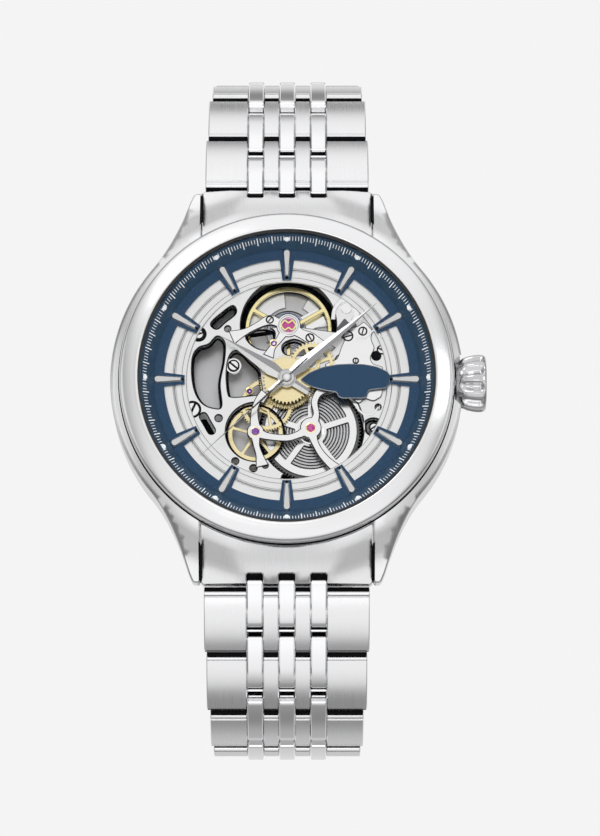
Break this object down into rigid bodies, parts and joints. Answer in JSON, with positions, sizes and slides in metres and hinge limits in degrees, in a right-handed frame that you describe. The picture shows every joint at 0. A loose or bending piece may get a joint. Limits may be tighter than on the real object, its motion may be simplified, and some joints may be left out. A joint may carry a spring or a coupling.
{
  "type": "skeleton wristwatch",
  "caption": "Automatic skeleton wristwatch: round lugged case, blue dial ring round an open movement, steel hands, fluted crown, and a seven-column steel bracelet with a folding clasp.",
  "frame": {"origin": "centre of the flat outer face of the case-back crystal", "axes": "+Z towards twelve o'clock, +X towards the crown, -Y out of the dial"},
  "size_m": [0.0448, 0.0499, 0.0852],
  "materials": {
    "brushed_steel": "fine longitudinal brushing",
    "polished_steel": "mirror polish",
    "hands_steel": "faceted, polished",
    "sapphire": "clear",
    "black_seal": "matt",
    "blue_dial": "satin blue lacquer",
    "silver_dial": "circular brushed silver",
    "plate_rhodium": "rhodium plated, fine satin",
    "bright_plate": "polished",
    "dark_steel": "dark oiled steel",
    "gilt_wheels": "gilt",
    "blued_spring": "heat blued"
  },
  "bodies": {
    "case": {"case_body": "brushed_steel", "bezel": "polished_steel", "crystal": "sapphire", "crystal_gasket": "black_seal", "flange_ring": "blue_dial", "dial_ring": "blue_dial", "centre_ring": "silver_dial", "name_plate": "blue_dial", "main_plate": "plate_rhodium", "keyless_cover": "bright_plate", "train_bridge": "plate_rhodium", "balance_cock": "plate_rhodium", "hairspring": "blued_spring", "rotor_bearing": "polished_steel", "crown_tube": "polished_steel", "case_back": "polished_steel", "case_back_crystal": "sapphire", "end_link_upper": "brushed_steel", "end_link_lower": "brushed_steel", "spring_bar_upper": "polished_steel", "spring_bar_lower": "polished_steel"},
    "barrel": {"barrel": "dark_steel", "barrel_cover": "plate_rhodium", "mainspring": "dark_steel"},
    "ratchet": {"ratchet_wheel": "plate_rhodium"},
    "great_wheel": {"great_wheel": "gilt_wheels"},
    "third_wheel": {"third_wheel": "gilt_wheels"},
    "seconds": {"seconds_wheel": "gilt_wheels", "seconds_hand": "hands_steel"},
    "escape_wheel": {"escape_wheel": "plate_rhodium"},
    "pallet_fork": {"pallet_fork": "plate_rhodium"},
    "balance": {"balance_wheel": "gilt_wheels"},
    "minute": {"cannon_pinion": "plate_rhodium", "minute_hand": "hands_steel"},
    "minute_wheel": {"minute_wheel": "gilt_wheels"},
    "hour": {"hour_wheel": "gilt_wheels", "hour_hand": "hands_steel"},
    "rotor": {"rotor": "plate_rhodium"},
    "crown_slide": {"crown_gasket": "black_seal"},
    "crown": {"crown": "polished_steel", "winding_stem": "dark_steel"},
    "link_upper_1": {"link_upper_1": "brushed_steel"},
    "link_upper_2": {"link_upper_2": "brushed_steel"},
    "link_upper_3": {"link_upper_3": "brushed_steel"},
    "link_upper_4": {"link_upper_4": "brushed_steel"},
    "link_upper_5": {"link_upper_5": "brushed_steel"},
    "link_upper_6": {"link_upper_6": "brushed_steel"},
    "link_upper_7": {"link_upper_7": "brushed_steel"},
    "link_lower_1": {"link_lower_1": "brushed_steel"},
    "link_lower_2": {"link_lower_2": "brushed_steel"},
    "link_lower_3": {"link_lower_3": "brushed_steel"},
    "link_lower_4": {"link_lower_4": "brushed_steel"},
    "link_lower_5": {"link_lower_5": "brushed_steel"},
    "link_lower_6": {"link_lower_6": "brushed_steel"},
    "link_lower_7": {"link_lower_7": "brushed_steel"},
    "clasp_cover": {"clasp_cover": "brushed_steel"},
    "clasp_middle_blade": {"clasp_middle_blade": "brushed_steel"},
    "clasp_inner_blade": {"clasp_inner_blade": "brushed_steel"},
    "clasp_button_left": {"clasp_button_left": "polished_steel"},
    "clasp_button_right": {"clasp_button_right": "polished_steel"}
  },
  "joints": [
    {"name": "seconds_turn", "type": "hinge", "parent": "case", "child": "seconds", "pos_m": [0, -0.0061, 0], "axis": [0, 1, 0], "continuous": true},
    {"name": "third_turn", "type": "hinge", "parent": "case", "child": "third_wheel", "pos_m": [-0.00238, -0.0058, -0.00266], "axis": [0, 1, 0], "continuous": true},
    {"name": "great_turn", "type": "hinge", "parent": "case", "child": "great_wheel", "pos_m": [-0.00372, -0.0054, -0.0062], "axis": [0, 1, 0], "continuous": true},
    {"name": "barrel_turn", "type": "hinge", "parent": "case", "child": "barrel", "pos_m": [0.00285, -0.0047, -0.00575], "axis": [0, 1, 0], "continuous": true},
    {"name": "escape_turn", "type": "hinge", "parent": "case", "child": "escape_wheel", "pos_m": [-0.00236, -0.00534, 0.0026], "axis": [0, 1, 0], "continuous": true},
    {"name": "minute_turn", "type": "hinge", "parent": "case", "child": "minute", "pos_m": [0, -0.0089, 0], "axis": [0, 1, 0], "continuous": true},
    {"name": "minute_wheel_turn", "type": "hinge", "parent": "case", "child": "minute_wheel", "pos_m": [0.003, -0.0074, 0.0019], "axis": [0, 1, 0], "continuous": true},
    {"name": "hour_turn", "type": "hinge", "parent": "case", "child": "hour", "pos_m": [0, -0.0076, 0], "axis": [0, 1, 0], "continuous": true},
    {"name": "balance_swing", "type": "hinge", "parent": "case", "child": "balance", "pos_m": [0.0002, -0.0046, 0.0067], "axis": [0, 1, 0], "range_deg": [-270, 270], "stiffness_Nm_per_rad": 0.000001},
    {"name": "pallet_rock", "type": "hinge", "parent": "case", "child": "pallet_fork", "pos_m": [-0.0014, -0.00534, 0.00446], "axis": [0, 1, 0], "range_deg": [-5, 5]},
    {"name": "rotor_turn", "type": "hinge", "parent": "case", "child": "rotor", "pos_m": [0, -0.0019, 0], "axis": [0, 1, 0], "continuous": true},
    {"name": "crown_pull", "type": "slide", "parent": "case", "child": "crown_slide", "axis": [1, 0, 0], "range_m": [0, 0.001]},
    {"name": "crown_turn", "type": "hinge", "parent": "crown_slide", "child": "crown", "pos_m": [0.0201, -0.0053, 0], "axis": [1, 0, 0], "continuous": true},
    {"name": "ratchet_turn", "type": "hinge", "parent": "case", "child": "ratchet", "pos_m": [0.00285, -0.0033, -0.00575], "axis": [0, 1, 0], "continuous": true},
    {"name": "link_upper_1_hinge", "type": "hinge", "parent": "case", "child": "link_upper_1", "pos_m": [0, -0.0022, 0.0254], "axis": [-1, 0, 0], "range_deg": [-22, 0]},
    {"name": "link_upper_2_hinge", "type": "hinge", "parent": "link_upper_1", "child": "link_upper_2", "pos_m": [0, 0.00204, 0.03218], "axis": [-1, 0, 0], "range_deg": [-8, 0]},
    {"name": "link_upper_3_hinge", "type": "hinge", "parent": "link_upper_2", "child": "link_upper_3", "pos_m": [0, 0.00718, 0.03831], "axis": [-1, 0, 0], "range_deg": [-30, 0]},
    {"name": "link_upper_4_hinge", "type": "hinge", "parent": "link_upper_3", "child": "link_upper_4", "pos_m": [0, 0.0147, 0.04105], "axis": [-1, 0, 0], "range_deg": [-28, 0]},
    {"name": "link_upper_5_hinge", "type": "hinge", "parent": "link_upper_4", "child": "link_upper_5", "pos_m": [0, 0.02262, 0.03994], "axis": [-1, 0, 0], "range_deg": [-22, 0]},
    {"name": "link_upper_6_hinge", "type": "hinge", "parent": "link_upper_5", "child": "link_upper_6", "pos_m": [0, 0.02955, 0.03594], "axis": [-1, 0, 0], "range_deg": [-20, 0]},
    {"name": "link_upper_7_hinge", "type": "hinge", "parent": "link_upper_6", "child": "link_upper_7", "pos_m": [0, 0.03469, 0.02981], "axis": [-1, 0, 0], "range_deg": [-20, 0]},
    {"name": "link_lower_1_hinge", "type": "hinge", "parent": "case", "child": "link_lower_1", "pos_m": [0, -0.0022, -0.0254], "axis": [1, 0, 0], "range_deg": [-22, 0]},
    {"name": "link_lower_2_hinge", "type": "hinge", "parent": "link_lower_1", "child": "link_lower_2", "pos_m": [0, 0.00204, -0.03218], "axis": [1, 0, 0], "range_deg": [-8, 0]},
    {"name": "link_lower_3_hinge", "type": "hinge", "parent": "link_lower_2", "child": "link_lower_3", "pos_m": [0, 0.00718, -0.03831], "axis": [1, 0, 0], "range_deg": [-30, 0]},
    {"name": "link_lower_4_hinge", "type": "hinge", "parent": "link_lower_3", "child": "link_lower_4", "pos_m": [0, 0.0147, -0.04105], "axis": [1, 0, 0], "range_deg": [-28, 0]},
    {"name": "link_lower_5_hinge", "type": "hinge", "parent": "link_lower_4", "child": "link_lower_5", "pos_m": [0, 0.02262, -0.03994], "axis": [1, 0, 0], "range_deg": [-22, 0]},
    {"name": "link_lower_6_hinge", "type": "hinge", "parent": "link_lower_5", "child": "link_lower_6", "pos_m": [0, 0.02955, -0.03594], "axis": [1, 0, 0], "range_deg": [-20, 0]},
    {"name": "link_lower_7_hinge", "type": "hinge", "parent": "link_lower_6", "child": "link_lower_7", "pos_m": [0, 0.03469, -0.02981], "axis": [1, 0, 0], "range_deg": [-20, 0]},
    {"name": "clasp_hinge", "type": "hinge", "parent": "link_lower_7", "child": "clasp_cover", "pos_m": [0, 0.03743, -0.02229], "axis": [1, 0, 0], "range_deg": [-40, 0]},
    {"name": "clasp_fold_outer", "type": "hinge", "parent": "clasp_cover", "child": "clasp_middle_blade", "pos_m": [0, 0.03753, 0.01959], "axis": [1, 0, 0], "range_deg": [-95, 0]},
    {"name": "clasp_fold_inner", "type": "hinge", "parent": "clasp_middle_blade", "child": "clasp_inner_blade", "pos_m": [0, 0.03723, -0.01689], "axis": [-1, 0, 0], "range_deg": [-100, 0]},
    {"name": "clasp_button_right_push", "type": "slide", "parent": "clasp_cover", "child": "clasp_button_right", "axis": [-1, 0, 0], "range_m": [0, 0.0006], "stiffness_N_per_m": 400, "springref_m": -0.0004},
    {"name": "clasp_button_left_push", "type": "slide", "parent": "clasp_cover", "child": "clasp_button_left", "axis": [1, 0, 0], "range_m": [0, 0.0006], "stiffness_N_per_m": 400, "springref_m": -0.0004}
  ],
  "couplings": [
    {"joint": "third_turn", "follows": "seconds_turn", "ratio": -0.13333},
    {"joint": "great_turn", "follows": "seconds_turn", "ratio": 0.016667},
    {"joint": "barrel_turn", "follows": "seconds_turn", "ratio": -0.0018519},
    {"joint": "escape_turn", "follows": "seconds_turn", "ratio": -12},
    {"joint": "minute_turn", "follows": "seconds_turn", "ratio": 0.016667},
    {"joint": "minute_wheel_turn", "follows": "seconds_turn", "ratio": -0.0055556},
    {"joint": "hour_turn", "follows": "seconds_turn", "ratio": 0.0013889},
    {"joint": "ratchet_turn", "follows": "crown_turn", "ratio": 0.3}
  ]
}
